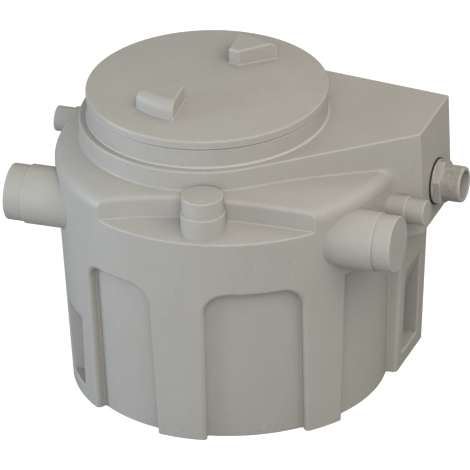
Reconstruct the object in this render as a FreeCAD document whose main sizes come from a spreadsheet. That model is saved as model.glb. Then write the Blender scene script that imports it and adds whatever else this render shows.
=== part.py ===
import FreeCAD, Part
import math
import os
import re

import Sketcher

# Sizes of the station in millimetres: name, value, what it is.
SIZES = [
    ("rim_z", 479.0, "height of the rim corner"),
    ("rim_round", 26.0, "rounding of the rim"),
    ("draft", 23.0, "the round wall is narrower by this at the floor than at the rim"),
    ("wall", 6.0, "wall thickness of the moulding"),
    ("floor_wall", 8.0, "thickness of the tank floor"),
    ("ring_x", -41.0, "centre of the lid, neck and platform along X"),
    ("platform_edge", 17.0, "width of the platform round the neck"),
    ("shoulder_run", 88.0, "radius of the rim beyond that of the platform"),
    ("ring_foot_z", 501.5, "height where the shoulder meets the platform"),
    ("ring_top_z", 543.5, "top of the platform and of the delivery box"),
    ("box_reach", 45.0, "end wall of the delivery box beyond the rim"),
    ("box_front_y", 27.0, "front corner of the end wall"),
    ("box_back_y", 197.5, "back corner of the end wall"),
    ("box_under_z", 327.0, "underside of the delivery box"),
    ("neck_r", 232.0, "outside radius of the neck"),
    ("neck_wall", 13.0, "wall of the neck round the mouth"),
    ("neck_top_z", 582.0, "top of the neck"),
    ("edge_round", 3.0, "small outside roundings"),
    ("foot_round", 4.0, "rounding where a wall meets the surface below"),
    ("blend_round", 35.0, "sweep of the round wall into the delivery box"),
    ("recess_round", 10.0, "rounding along the top of the recess"),
    ("spigot_round", 1.5, "rounded ends of the spigots"),
    ("rib_round", 8.0, "rounded upright edges of the panels and of the foot"),
    ("panel_sink", 4.0, "rounding where the panels sink into the wall"),
    ("pocket_round", 3.0, "rounded edges of the foot pockets"),
    ("recess_width", 77.0, "recess wall inside the rim"),
    ("recess_angle", -80.5, "direction of the recess"),
    ("recess_depth", 43.0, "drop of the recess floor below the shoulder"),
    ("panel_depth", 20.0, "depth of the side panels"),
    ("panel_top_z", 321.0, "top of the side panels"),
    ("panel_round", 42.0, "rounded upper corners of the panels"),
    ("panel_far_round", 30.0, "rounded far corner of the left panel"),
    ("panel_left_angle", -113.9, "middle of the left panel"),
    ("panel_left_width", 152.0, "width of the left panel"),
    ("panel_mid_angle", -63.0, "middle of the centre panel"),
    ("panel_mid_width", 188.0, "width of the centre panel"),
    ("panel_right_y", -151.0, "near edge of the right panel"),
    ("foot_inset", 3.5, "flat side of the foot inside the round wall at the floor"),
    ("foot_top_inset", 2.5, "flat side of the foot inside the rim, under the delivery box"),
    ("foot_front_y", 53.0, "front of the foot"),
    ("foot_back_y", 203.0, "back of the foot"),
    ("pocket_floor_z", 28.0, "floor of the two foot pockets"),
    ("pocket_slope", 21.0, "lean of the pocket ceilings from upright"),
    ("pocket_right_y", 84.0, "near side of the right pocket"),
    ("pocket_right_width", 88.0, "width of the right pocket"),
    ("pocket_right_top_z", 212.0, "top of the right pocket"),
    ("pocket_left_inset", 103.0, "near side of the left pocket from the front of the body"),
    ("pocket_left_width", 63.0, "width of the left pocket"),
    ("pocket_left_top_z", 184.0, "top of the left pocket"),
    ("pocket_left_lean", 13.0, "the left pocket is wider by this at its top"),
    ("pocket_deep", 109.0, "depth of the left pocket from the round wall"),
    ("spigot_step", 3.0, "each spigot is thicker by this near the wall"),
    ("spigot_wall", 4.5, "wall of the spigots"),
    ("spigot_end", 37.0, "length of the slimmer end of a side spigot"),
    ("inlet_r", 55.0, "radius of the two large side spigots"),
    ("inlet_y", -150.0, "axis of the large spigots"),
    ("inlet_z", 396.0, "height of the large spigots"),
    ("inlet_reach", 56.0, "ends of the large spigots beyond the rim"),
    ("small_r", 25.0, "radius of the two small side spigots"),
    ("small_z", 403.0, "height of the small spigots"),
    ("small_right_y", -25.0, "axis of the small spigot on the right"),
    ("small_right_reach", 72.0, "end of the small spigot on the right beyond the rim"),
    ("small_left_y", 148.0, "axis of the small spigot on the left"),
    ("small_left_reach", 69.0, "end of the small spigot on the left beyond the rim"),
    ("vent_r", 40.5, "radius of the upright spigot"),
    ("vent_x", 44.7, "upright spigot along X"),
    ("vent_inset", 56.6, "upright spigot inside the rim along Y"),
    ("vent_top_z", 517.0, "top of the upright spigot"),
    ("vent_end", 34.5, "length of its slimmer end"),
    ("seal_tall", 2.5, "thickness of the lid seal"),
    ("seal_inset", 2.0, "lid seal inside the edge of the neck"),
    ("seal_width", 9.0, "width of the lid seal"),
    ("lid_over", 2.5, "edge of the lid beyond the neck"),
    ("lid_edge", 16.5, "height of the edge of the lid"),
    ("lid_rise", 10.8, "rise of the domed top from edge to middle"),
    ("lid_round", 4.0, "rounded top edge of the lid"),
    ("lid_wall", 5.0, "wall thickness of the lid"),
    ("lid_gap", 0.5, "play between the lid and the mouth"),
    ("lid_depth", 35.0, "how far the collar of the lid reaches into the mouth"),
    ("grip_tall", 41.0, "height of the two grips above the edge of the lid"),
    ("grip_root", 12.0, "the grips start this far below the top edge of the lid"),
    ("grip_r", 166.0, "outer side of the grips from the middle of the lid"),
    ("grip_inner_x", -15.7, "inner corner of a grip"),
    ("grip_inner_y", -84.5, "inner corner of a grip"),
    ("grip_bend_x", -38.4, "corner where the long side of a grip starts"),
    ("grip_bend_y", -77.8, "corner where the long side of a grip starts"),
    ("grip_tail_x", -127.0, "long side of a grip, carried on past its outer side"),
    ("grip_tail_y", -166.0, "long side of a grip, carried on past its outer side"),
    ("grip_toe_x", -9.5, "steep side of a grip, carried on past its outer side"),
    ("grip_toe_y", -195.0, "steep side of a grip, carried on past its outer side"),
    ("grip_round", 4.0, "rounded edges of the grips"),
    ("grip_soft", 18.0, "rounded outer edge of the grips"),
    ("grip_foot", 3.0, "fillet where the grips stand on the lid"),
    ("pipe_y", 112.0, "discharge line along Y"),
    ("pipe_z", 400.0, "height of the discharge"),
    ("nipple_r", 35.0, "radius of the discharge nipple"),
    ("nipple_bore_r", 28.0, "bore of the discharge nipple"),
    ("nipple_out", 57.0, "length of the nipple outside the delivery box"),
    ("nipple_in", 82.0, "inner end of the nipple inside the end wall"),
    ("nipple_gap", 0.5, "play of the nipple in the wall of the tank"),
    ("nipple_bevel", 1.5, "bevel at the end of the nipple"),
    ("nipple_full", 1.0, "the nipple keeps its full radius this far past the nut"),
    ("nipple_step", 0.4, "the free end of the nipple is thinner by this"),
    ("clamp_r", 44.0, "radius of the flange inside the tank"),
    ("clamp_tall", 5.0, "thickness of that flange"),
    ("gasket_tall", 3.0, "thickness of the inner gasket and the outer washer"),
    ("washer_r", 46.0, "radius of the outer washer"),
    ("seat_gap", 0.3, "gap round a piece that is seated in another"),
    ("nut_across", 80.0, "width of the discharge nut across its flats"),
    ("nut_tall", 18.0, "height of the discharge nut"),
    ("nut_base_r", 43.5, "radius of the round base of the nut"),
    ("nut_base", 4.0, "height of the round base of the nut"),
    ("nut_bevel", 2.5, "bevel of the corners of the nuts"),
    ("nut_turn", 7.0, "turn of the nut on its thread"),
    ("union_across", 86.0, "width of the union nut across its flats"),
    ("union_tall", 30.0, "height of the union nut"),
    ("union_base", 1.0, "height of the round base of the union nut"),
    ("union_lip", 6.0, "lip of the union nut and the flange that it holds"),
    ("flange_r", 36.0, "radius of the flange that the union nut holds"),
    ("riser_x", 205.0, "riser along X"),
    ("pipe_r", 25.0, "radius of the riser"),
    ("pipe_bore_r", 20.0, "bore of the riser and its fittings"),
    ("bend_r", 40.0, "bend of the elbows"),
    ("fitting_r", 28.0, "radius of the elbows"),
    ("socket_r", 34.0, "radius of the sockets"),
    ("socket_depth", 22.0, "depth of the sockets"),
    ("socket_lap", 4.0, "length in which a socket covers its elbow"),
    ("valve_z", 180.0, "bottom of the chamber of the check valve"),
    ("valve_tall", 92.0, "height of the chamber"),
    ("valve_sill", 8.0, "thickness of the seat under the ball"),
    ("valve_branch", 92.0, "length of the slanting branch that takes the ball"),
    ("valve_flange_r", 44.0, "radius of the flange and cap of the branch"),
    ("valve_flange", 6.0, "thickness of that flange"),
    ("valve_cap", 8.0, "thickness of the cap"),
    ("valve_plug", 3.0, "how far the cap reaches into the branch"),
    ("ball_r", 27.0, "radius of the ball"),
    ("ball_gap", 1.5, "room between the ball and the branch"),
    ("ball_rest", 0.03, "the resting ball stands this far above its seat"),
    ("pump_x", 0.0, "pump along X"),
    ("volute_edge", 5.0, "the pump casing ends this far behind the delivery line"),
    ("strainer_tall", 28.0, "height of the strainer under the pump"),
    ("strainer_r", 82.0, "radius of the strainer"),
    ("strainer_wall", 5.0, "wall of the strainer"),
    ("slot_wide", 8.0, "width of the slots of the strainer"),
    ("slot_tall", 14.0, "height of the slots"),
    ("slot_rise", 4.0, "lower edge of the slots above the tank floor"),
    ("volute_r", 85.0, "radius of the pump casing"),
    ("volute_tall", 60.0, "height of the pump casing"),
    ("volute_floor", 6.0, "floor of the pump casing"),
    ("chamber_r", 72.0, "radius of the impeller chamber"),
    ("intake_r", 26.0, "intake of the pump"),
    ("outlet_z", 66.0, "height of the outlet of the pump"),
    ("outlet_x", 150.0, "end of the outlet of the pump"),
    ("impeller_r", 58.0, "radius of the impeller"),
    ("impeller_z", 46.0, "lower edge of the vanes"),
    ("vane_tall", 20.0, "height of the vanes"),
    ("vane_thick", 4.0, "thickness of the vanes and of the disc above them"),
    ("vane_reach", 54.0, "outer end of the vanes"),
    ("vane_sweep", 18.0, "sideways reach of a vane at its outer end"),
    ("vane_start", 7.5, "sideways reach of a vane at the hub, the other way"),
    ("hub_r", 15.0, "radius of the hub of the impeller"),
    ("hub_tall", 36.0, "height of the hub"),
    ("plate_tall", 10.0, "thickness of the bearing plate"),
    ("shaft_r", 8.0, "radius of the shaft at its ends"),
    ("shaft_start", 4.0, "lower end of the shaft above that of the hub"),
    ("shaft_room", 4.0, "room above the upper end of the shaft"),
    ("journal_r", 10.0, "radius of the shaft in the bearing plate"),
    ("running_gap", 0.05, "radial play of a bearing"),
    ("collar_r", 14.0, "radius of the shaft collar on the bearing plate"),
    ("collar_tall", 22.0, "height of the collar"),
    ("rotor_r", 41.5, "radius of the rotor"),
    ("rotor_tall", 96.0, "height of the rotor"),
    ("air_gap", 0.5, "gap between rotor and stator"),
    ("stator_tall", 100.0, "height of the stator"),
    ("motor_r", 75.0, "radius of the motor housing"),
    ("motor_wall", 4.0, "wall of the motor housing"),
    ("motor_tall", 170.0, "height of the motor housing"),
    ("ledge_rise", 16.0, "foot of the ledge that carries the stator"),
    ("ledge", 4.0, "thickness of that ledge"),
    ("ledge_under", 20.0, "the ledge ends this far outside the bore of the stator"),
    ("cap_tall", 18.0, "height of the motor cap"),
    ("cap_rim", 9.0, "upright rim of the motor cap"),
    ("cap_slope", 15.0, "sloping rim of the motor cap"),
    ("boss_tall", 40.0, "length of the boss for the upper bearing"),
    ("bearing_depth", 12.0, "depth of the upper bearing"),
    ("handle_r", 45.0, "arch of the pump handle"),
    ("handle_rod", 5.5, "radius of the rod of the handle"),
    ("gland_y", 38.0, "cable gland in front of the middle of the pump"),
    ("gland_r", 11.0, "radius of the cable gland"),
    ("gland_bore_r", 4.5, "cable hole of the gland"),
    ("gland_body", 13.0, "height of the body of the gland"),
    ("gland_taper", 5.0, "height of the taper above it"),
    ("gland_neck", 6.0, "height of the neck above the taper"),
    ("gland_neck_r", 8.25, "radius of that neck"),
    ("band_z", 204.0, "lower edge of the float bracket"),
    ("band_tall", 16.0, "height of the float bracket"),
    ("band_thick", 5.0, "thickness of the band of the bracket"),
    ("lug_reach", 35.0, "reach of the lugs from the motor housing"),
    ("lug_thick", 4.0, "thickness of each lug"),
    ("pivot_reach", 27.0, "float pivot from the motor housing"),
    ("pin_r", 4.0, "radius of the float pivot and of the float rod"),
    ("knuckle_r", 7.5, "radius of the knuckle of the float arm"),
    ("knuckle_wide", 10.0, "width of the knuckle"),
    ("knuckle_gap", 0.3, "side play of the knuckle between the lugs"),
    ("float_reach", 125.0, "float from its pivot"),
    ("float_r", 38.0, "radius of the float"),
    ("float_flat", 2.0, "depth of the flat where the rod enters the float"),
    ("float_angle", 40.0, "slope of the arm when the tank is empty"),
    ("rod_depth", 20.0, "length of rod inside the float"),
    ("stop_r", 10.0, "radius of the stop collar on the rod"),
    ("stop_tall", 4.0, "thickness of the stop collar"),
    ("past", 20.0, "how far a cutting solid runs past what it cuts"),
    ("lap", 2.0, "how far joined solids run into each other"),
]

doc = FreeCAD.newDocument("LiftingStation")
sheet = doc.addObject("Spreadsheet::Sheet", "Sizes")
for row, (name, value, meaning) in enumerate(SIZES, 1):
    sheet.set("A%d" % row, name)
    sheet.set("B%d" % row, str(value))
    sheet.set("C%d" % row, meaning)
    sheet.setAlias("B%d" % row, name)
working = doc.addObject("Spreadsheet::Sheet", "Working")
doc.recompute()
NAMES = {name for name, value, meaning in SIZES}
NODES = []

# Heights and places that differ by less than this count as the same.
NEAR = 1.0

# Radii and places that follow from the sizes, counted outwards from the neck.
RING_R = "(neck_r + platform_edge)"
RIM_R = "(neck_r + platform_edge + shoulder_run)"
FLOOR_R = "(neck_r + platform_edge + shoulder_run - draft)"
MOUTH_R = "(neck_r - neck_wall)"
LID_R = "(neck_r + lid_over)"
BOX_X = "(neck_r + platform_edge + shoulder_run + box_reach)"
FOOT_X = "(neck_r + platform_edge + shoulder_run - draft - foot_inset)"
FOOT_TOP_X = "(neck_r + platform_edge + shoulder_run - foot_top_inset)"
NIPPLE_END_X = "(neck_r + platform_edge + shoulder_run + box_reach + nipple_out)"
NIPPLE_START_X = "(neck_r + platform_edge + shoulder_run + box_reach - nipple_in)"

UPRIGHT = FreeCAD.Rotation()
ALONG_X = FreeCAD.Rotation(FreeCAD.Vector(0, 1, 0), 90)
ALONG_Y = FreeCAD.Rotation(FreeCAD.Vector(1, 0, 0), -90)
TIPPED = FreeCAD.Rotation(FreeCAD.Vector(1, 0, 0), 90)
AGAINST_X = FreeCAD.Rotation(FreeCAD.Vector(0, 1, 0), -90)


def size(name):
    """The number in one cell of the sheet."""
    return float(sheet.get(name))


def linked(formula):
    """A formula in which each size name points at its cell."""
    words = re.findall(r"[A-Za-z_]+|[^A-Za-z_]+", formula)
    return "".join("Sizes." + word if word in NAMES else word for word in words)


def number(formula):
    """What a formula comes to, worked out in a spare cell."""
    working.set("A1", "=" + linked(formula))
    working.recompute()
    return float(working.get("A1"))


def bind(thing, **formulas):
    for prop, formula in formulas.items():
        thing.setExpression(prop, linked(formula))


def place(thing, x="0", y="0", z="0", turn=UPRIGHT):
    thing.Placement = FreeCAD.Placement(FreeCAD.Vector(), turn)
    for axis, formula in zip("xyz", (x, y, z)):
        thing.setExpression("Placement.Base." + axis, linked(formula))


def cylinder(name, radius, height, x="0", y="0", z="0", turn=UPRIGHT):
    thing = doc.addObject("Part::Cylinder", name)
    bind(thing, Radius=radius, Height=height)
    place(thing, x, y, z, turn)
    return thing


def cone(name, low_radius, top_radius, height, x="0", y="0", z="0", turn=UPRIGHT):
    thing = doc.addObject("Part::Cone", name)
    bind(thing, Radius1=low_radius, Radius2=top_radius, Height=height)
    place(thing, x, y, z, turn)
    return thing


def block(name, long, wide, tall, x="0", y="0", z="0", turn=UPRIGHT):
    thing = doc.addObject("Part::Box", name)
    bind(thing, Length=long, Width=wide, Height=tall)
    place(thing, x, y, z, turn)
    return thing


def sphere(name, radius, x="0", y="0", z="0"):
    thing = doc.addObject("Part::Sphere", name)
    bind(thing, Radius=radius)
    place(thing, x, y, z)
    return thing


def prism(name, corners, across, height, x="0", y="0", z="0", turn=UPRIGHT):
    """An upright piece with flat sides; across is its width over two of them."""
    thing = doc.addObject("Part::Prism", name)
    thing.Polygon = corners
    bind(thing, Circumradius="%s / 2 / cos(180 / %d)" % (across, corners), Height=height)
    place(thing, x, y, z, turn)
    return thing


def joined(name, *things):
    union = doc.addObject("Part::MultiFuse", name)
    union.Shapes = list(things)
    return union


def shared(name, *things):
    overlap = doc.addObject("Part::MultiCommon", name)
    overlap.Shapes = list(things)
    return overlap


def cut(name, base, tool):
    difference = doc.addObject("Part::Cut", name)
    difference.Base = base
    difference.Tool = tool
    return difference


def outline(sketch, points):
    """Draw a closed polygon; a formula drives each coordinate of each corner."""
    corners = [FreeCAD.Vector(number(across), number(up), 0) for across, up in points]
    last = len(corners) - 1
    for at, corner in enumerate(corners):
        sketch.addGeometry(Part.LineSegment(corner, corners[at + 1 if at < last else 0]))
    for at in range(len(corners)):
        sketch.addConstraint(Sketcher.Constraint("Coincident", at, 2, at + 1 if at < last else 0, 1))
    for at, corner in enumerate(corners):
        for kind, value, line, formula in (
            ("DistanceX", corner.x, -2, points[at][0]),
            ("DistanceY", corner.y, -1, points[at][1]),
        ):
            if abs(value) < 1e-6:
                sketch.addConstraint(Sketcher.Constraint("PointOnObject", at, 1, line))
            else:
                driven = sketch.addConstraint(Sketcher.Constraint(kind, -1, 1, at, 1, value))
                sketch.setExpression("Constraints[%d]" % driven, linked(formula))


def drawn(body, name, plane, points):
    """A sketch on one of the origin planes of a body."""
    sketch = body.newObject("Sketcher::SketchObject", name)
    support = [item for item in body.Origin.OriginFeatures if item.Role == plane]
    sketch.AttachmentSupport = (support[0], [""])
    sketch.MapMode = "FlatFace"
    outline(sketch, points)
    return sketch


def turned(name, points, x="0", y="0", z="0", turn=UPRIGHT):
    """A round body: corners given as radius and height, turned about the body's Z axis."""
    body = doc.addObject("PartDesign::Body", name)
    sketch = drawn(body, name + "Outline", "XZ_Plane", points)
    turning = body.newObject("PartDesign::Revolution", name + "Turned")
    turning.Profile = sketch
    turning.ReferenceAxis = (sketch, ["V_Axis"])
    turning.Angle = 360
    place(body, x, y, z, turn)
    return body


def ring(name, inner, outer, low, high, x="0", y="0", z="0", turn=UPRIGHT):
    points = [(inner, low), (outer, low), (outer, high), (inner, high)]
    return turned(name, points, x, y, z, turn)


def rounded(name, base, *choices):
    """Round edges of base: each choice is a radius and a test that picks edges."""
    doc.recompute()
    fillet = doc.addObject("Part::Fillet", name)
    fillet.Base = base
    fillet.Edges = [
        (at, radius, radius)
        for at, edge in enumerate(base.Shape.Edges, 1)
        for radius, wanted in choices
        if wanted(edge)
    ]
    return fillet


def flat_at(edge, height, near=0.05):
    """True when the whole edge lies at one height."""
    box = edge.BoundBox
    return abs(box.ZMin - height) < near and abs(box.ZMax - height) < near


def along_edge(edge, steps=4):
    """Points from one end of an edge to the other."""
    first, last = edge.FirstParameter, edge.LastParameter
    return [edge.valueAt(first + (last - first) * step / steps) for step in range(steps + 1)]


def runs_between(edge, low, high):
    """True when an edge goes from one height to another."""
    ends = sorted(point.z for point in along_edge(edge, 1))
    return abs(ends[0] - low) < NEAR and abs(ends[1] - high) < NEAR


def finish(name, thing):
    """Name a finished piece; its file and node carry the same name."""
    thing.Label = name
    NODES.append((name, thing))
    return thing


# The delivery box and the ring round the neck share one plan: a circle with
# two walls that leave it at a tangent and end in a flat wall.
def platform_plan():
    plan = doc.addObject("Sketcher::SketchObject", "PlatformPlan")
    centre = FreeCAD.Vector(size("ring_x"), 0, 0)
    radius, end_x = number(RING_R), number(BOX_X)
    corners = []
    for corner_y, side in ((size("box_front_y"), -1), (size("box_back_y"), 1)):
        corner = FreeCAD.Vector(end_x, corner_y, 0)
        reach = corner - centre
        angle = math.atan2(reach.y, reach.x) + side * math.acos(radius / reach.Length)
        corners.append((corner, angle))
    (front, front_angle), (back, back_angle) = corners

    def on_ring(angle):
        return centre + FreeCAD.Vector(math.cos(angle), math.sin(angle), 0) * radius

    ring = Part.Circle(centre, FreeCAD.Vector(0, 0, 1), radius)
    plan.addGeometry(Part.ArcOfCircle(ring, back_angle, front_angle + 2 * math.pi))
    plan.addGeometry(Part.LineSegment(on_ring(front_angle), front))
    plan.addGeometry(Part.LineSegment(front, back))
    plan.addGeometry(Part.LineSegment(back, on_ring(back_angle)))
    add = plan.addConstraint
    add(Sketcher.Constraint("Tangent", 0, 2, 1, 1))
    add(Sketcher.Constraint("Tangent", 3, 2, 0, 1))
    add(Sketcher.Constraint("Coincident", 1, 2, 2, 1))
    add(Sketcher.Constraint("Coincident", 2, 2, 3, 1))
    add(Sketcher.Constraint("Vertical", 2))
    add(Sketcher.Constraint("PointOnObject", 0, 3, -1))
    driven = [
        (Sketcher.Constraint("DistanceX", 0, 3, -1, 1, -size("ring_x")), "-ring_x"),
        (Sketcher.Constraint("Radius", 0, radius), RING_R),
        (Sketcher.Constraint("DistanceX", -1, 1, 1, 2, end_x), BOX_X),
        (Sketcher.Constraint("DistanceY", -1, 1, 1, 2, size("box_front_y")), "box_front_y"),
        (Sketcher.Constraint("DistanceY", -1, 1, 2, 2, size("box_back_y")), "box_back_y"),
    ]
    for constraint, formula in driven:
        plan.setExpression("Constraints[%d]" % add(constraint), linked(formula))
    return plan


def raised(name, outline, low, height):
    """Extrude a flat outline upwards from one height."""
    solid = doc.addObject("Part::Extrusion", name)
    solid.Base = outline
    solid.DirMode = "Custom"
    solid.Dir = FreeCAD.Vector(0, 0, 1)
    solid.Solid = True
    bind(solid, LengthFwd=height)
    place(solid, z=low)
    return solid


def shoulder(name, inset, drop, past):
    """The leaning surface from the rim up to the platform, as a solid.

    It runs in under the platform by a share of its width. It may be sunk by
    drop, and carried on past the rim by another share.
    """
    tucked = 0.15
    rings = []
    for part, share in (("Rim", 1 + past), ("Foot", -tucked)):
        ring = doc.addObject("Part::Circle", name + part)
        bind(ring, Radius="%s + (shoulder_run - %s) * %g" % (RING_R, inset, share))
        height = "ring_foot_z - (ring_foot_z - rim_z) * %g - %s - %s" % (share, inset, drop)
        place(ring, "ring_x * %g" % (1 - share), "0", height)
        rings.append(ring)
    loft = doc.addObject("Part::Loft", name)
    loft.Sections = rings
    loft.Solid = True
    loft.Ruled = True
    return loft


def barrel(tag, inset, low):
    """The round wall with its shoulder."""
    low_r, top_r = (radius + " - " + inset for radius in (FLOOR_R, RIM_R))
    wall = cone(tag + "Wall", low_r, top_r, "rim_z - %s - %s" % (inset, low), z=low)
    return joined(tag + "Barrel", wall, shoulder(tag + "Shoulder", inset, "0", 0))


def turned_block(name, start, wide, tall, angle, low):
    """A block that points away from the body axis in one direction, past the rim."""
    x = "(%s) * cos(%s) + (%s) / 2 * sin(%s)" % (start, angle, wide, angle)
    y = "(%s) * sin(%s) - (%s) / 2 * cos(%s)" % (start, angle, wide, angle)
    turn = FreeCAD.Rotation(FreeCAD.Vector(0, 0, 1), size(angle))
    thing = block(name, "%s + past - (%s)" % (RIM_R, start), wide, tall, x, y, low, turn)
    thing.setExpression("Placement.Rotation.Angle", linked(angle))
    return thing


def side_panels(tag, inset):
    """What the three recessed panels take out of the round wall."""
    tall = "panel_top_z + past + " + inset
    top = number("panel_top_z + " + inset)
    blocks = []
    for part, angle, wide, far_round in (
        ("Left", "panel_left_angle", "panel_left_width + 2 * " + inset, "panel_far_round"),
        ("Middle", "panel_mid_angle", "panel_mid_width + 2 * " + inset, "panel_round"),
    ):
        panel = turned_block(part + tag, "0", wide, tall, angle, "-past")
        doc.recompute()
        across = panel.Placement.Rotation.multVec(FreeCAD.Vector(0, 1, 0))
        middle = panel.Placement.multVec(FreeCAD.Vector(0, panel.Width.Value / 2, 0))

        def corner(edge, side):
            point = edge.valueAt(edge.FirstParameter)
            outward = abs(edge.Length - panel.Length.Value) < 0.01
            return flat_at(edge, top) and outward and (point - middle).dot(across) * side > 0

        blocks.append(
            rounded(
                part + "Round" + tag,
                panel,
                (size("panel_round"), lambda edge: corner(edge, 1)),
                (size(far_round), lambda edge: corner(edge, -1)),
            )
        )
    blocks.append(
        block(
            "Right" + tag,
            RIM_R + " + past",
            "foot_front_y - panel_right_y + 2 * " + inset,
            tall,
            "0",
            "panel_right_y - " + inset,
            "-past",
        )
    )
    low_r = "%s - panel_depth - %s" % (FLOOR_R, inset)
    core = cone("Core" + tag, low_r, "%s - panel_depth - %s" % (RIM_R, inset), "rim_z")
    foot = cylinder("CoreFoot" + tag, low_r, "2 * past", z="-2 * past")
    return cut("Panels" + tag, joined("PanelBlocks" + tag, *blocks), joined("PanelCore" + tag, core, foot))


def pockets(tag, inset):
    """The two pockets low in the wall where the station is held to the floor."""
    right = doc.addObject("Part::Wedge", "PocketRight" + tag)
    top_x = "%s + (%s - %s) * pocket_right_top_z / box_under_z" % (FOOT_X, FOOT_TOP_X, FOOT_X)
    deep = "(pocket_right_top_z - pocket_floor_z) * tan(pocket_slope)"
    grown = "%s * (1 + tan(pocket_slope))" % inset
    bind(
        right,
        Xmin="%s - %s - %s" % (top_x, deep, grown),
        X2min="%s - %s" % (top_x, grown),
        Xmax=FOOT_TOP_X + " + past",
        X2max=FOOT_TOP_X + " + past",
        Ymin="pocket_floor_z - " + inset,
        Ymax="pocket_right_top_z",
        Zmin="-(pocket_right_y + pocket_right_width + %s)" % inset,
        Zmax="-(pocket_right_y - %s)" % inset,
        Z2min="-(pocket_right_y + pocket_right_width + %s)" % inset,
        Z2max="-(pocket_right_y - %s)" % inset,
    )
    right.Placement.Rotation = TIPPED
    near = FLOOR_R + " - pocket_left_inset"
    left = doc.addObject("Part::Wedge", "PocketLeft" + tag)
    bind(
        left,
        Xmin="-(%s + past)" % RIM_R,
        X2min="-(%s + past)" % RIM_R,
        Xmax="-(%s - pocket_deep - %s)" % (FLOOR_R, inset),
        X2max="-(%s - pocket_deep - %s)" % (FLOOR_R, inset),
        Ymin="pocket_floor_z - " + inset,
        Ymax="pocket_left_top_z + " + inset,
        Zmin="%s - pocket_left_width - %s" % (near, inset),
        Zmax="%s + %s" % (near, inset),
        Z2min="%s - pocket_left_width - %s" % (near, inset),
        Z2max="%s + pocket_left_lean + %s" % (near, inset),
    )
    left.Placement.Rotation = TIPPED
    return joined("Pockets" + tag, right, left)


def foot_block(tag, inset, low):
    foot = doc.addObject("Part::Wedge", "FootBlock" + tag)
    bind(
        foot,
        Xmin=FLOOR_R + " / 2",
        X2min=FLOOR_R + " / 2",
        Xmax="%s - %s" % (FOOT_X, inset),
        X2max="%s - %s" % (FOOT_TOP_X, inset),
        Ymin=low,
        Ymax="box_under_z + 2 * wall",
        Zmin="-(foot_back_y - %s)" % inset,
        Zmax="-(foot_front_y + %s)" % inset,
        Z2min="-(foot_back_y - %s)" % inset,
        Z2max="-(foot_front_y + %s)" % inset,
    )
    foot.Placement.Rotation = TIPPED
    return foot


def soft_end(post):
    """Round the far end of a cylinder."""
    doc.recompute()
    far = post.Placement.multVec(FreeCAD.Vector(0, 0, post.Height.Value))
    return rounded(
        post.Name + "Soft",
        post,
        (size("spigot_round"), lambda edge: edge.Closed and edge.Curve.Center.distanceToPoint(far) < NEAR),
    )


def side_spigot(tag, radius, y, z, end, side, inset):
    """A spigot with a step, or the hollow inside it."""
    turn = ALONG_X if side > 0 else AGAINST_X
    start = FLOOR_R + " * 2 / 3"
    reach = "%s + %s - %s" % (RIM_R, end, start)
    start = "%d * %s" % (side, start)
    if inset:
        radius, reach = radius + " - spigot_wall", reach + " - spigot_wall"
        return cylinder(tag + "Hollow", radius, reach, start, y, z, turn)
    slim = cylinder(tag + "End", radius, reach, start, y, z, turn)
    thick = cylinder(tag + "Root", radius + " + spigot_step", reach + " - spigot_end", start, y, z, turn)
    return joined(tag + "Spigot", soft_end(slim), soft_end(thick))


def spigots(inset):
    names = [
        side_spigot("InletRight", "inlet_r", "inlet_y", "inlet_z", "inlet_reach", 1, inset),
        side_spigot("InletLeft", "inlet_r", "inlet_y", "inlet_z", "inlet_reach", -1, inset),
        side_spigot("SmallRight", "small_r", "small_right_y", "small_z", "small_right_reach", 1, inset),
        side_spigot("SmallLeft", "small_r", "small_left_y", "small_z", "small_left_reach", -1, inset),
    ]
    y = "-(%s - vent_inset)" % RIM_R
    if inset:
        low = "rim_z - recess_depth - 2 * past"
        tall = "vent_top_z - spigot_wall - (%s)" % low
        names.append(cylinder("VentHollow", "vent_r - spigot_wall", tall, "vent_x", y, low))
    else:
        low = "rim_z - recess_depth - past"
        tall = "vent_top_z - (%s)" % low
        slim = cylinder("VentEnd", "vent_r", tall, "vent_x", y, low)
        thick = cylinder("VentRoot", "vent_r + spigot_step", tall + " - vent_end", "vent_x", y, low)
        names.extend((soft_end(slim), soft_end(thick)))
    return names


def rim_rounded(tag, body, inset):
    """Round the rim, with the same centre inside the wall as outside."""
    rim = number("rim_z - " + inset)
    long = number(RIM_R) / 5
    return rounded(
        tag + "RimRound",
        body,
        (number("rim_round - " + inset), lambda edge: flat_at(edge, rim) and edge.Length > long),
    )


def softened(body):
    """Round the long edges of the moulding."""
    rim, top, under, end_x = (number(name) for name in ("rim_z", "ring_top_z", "box_under_z", BOX_X))
    sunk = rim - size("recess_depth")
    foot = size("ring_foot_z")
    reach = number(RIM_R)
    short, long, all_round = reach / 5, reach / 2, reach * 2.5

    def recess_top(edge):
        return runs_between(edge, rim, rim) and edge.BoundBox.ZMax > rim + NEAR

    def box_foot(edge):
        return runs_between(edge, under, rim) and edge.BoundBox.XMax < end_x - NEAR

    return rounded(
        "Softened",
        body,
        (size("rim_round"), lambda edge: flat_at(edge, rim) and edge.Length > short),
        (size("recess_round"), recess_top),
        (size("blend_round"), box_foot),
        (size("foot_round"), lambda edge: flat_at(edge, foot) and edge.Length > all_round),
        (size("edge_round"), lambda edge: flat_at(edge, top)),
        (size("edge_round"), lambda edge: runs_between(edge, under, top)),
        (size("edge_round"), lambda edge: flat_at(edge, under) and edge.BoundBox.XMax > end_x - NEAR),
        (size("edge_round"), lambda edge: runs_between(edge, sunk, sunk) and edge.Length > long),
    )


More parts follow.
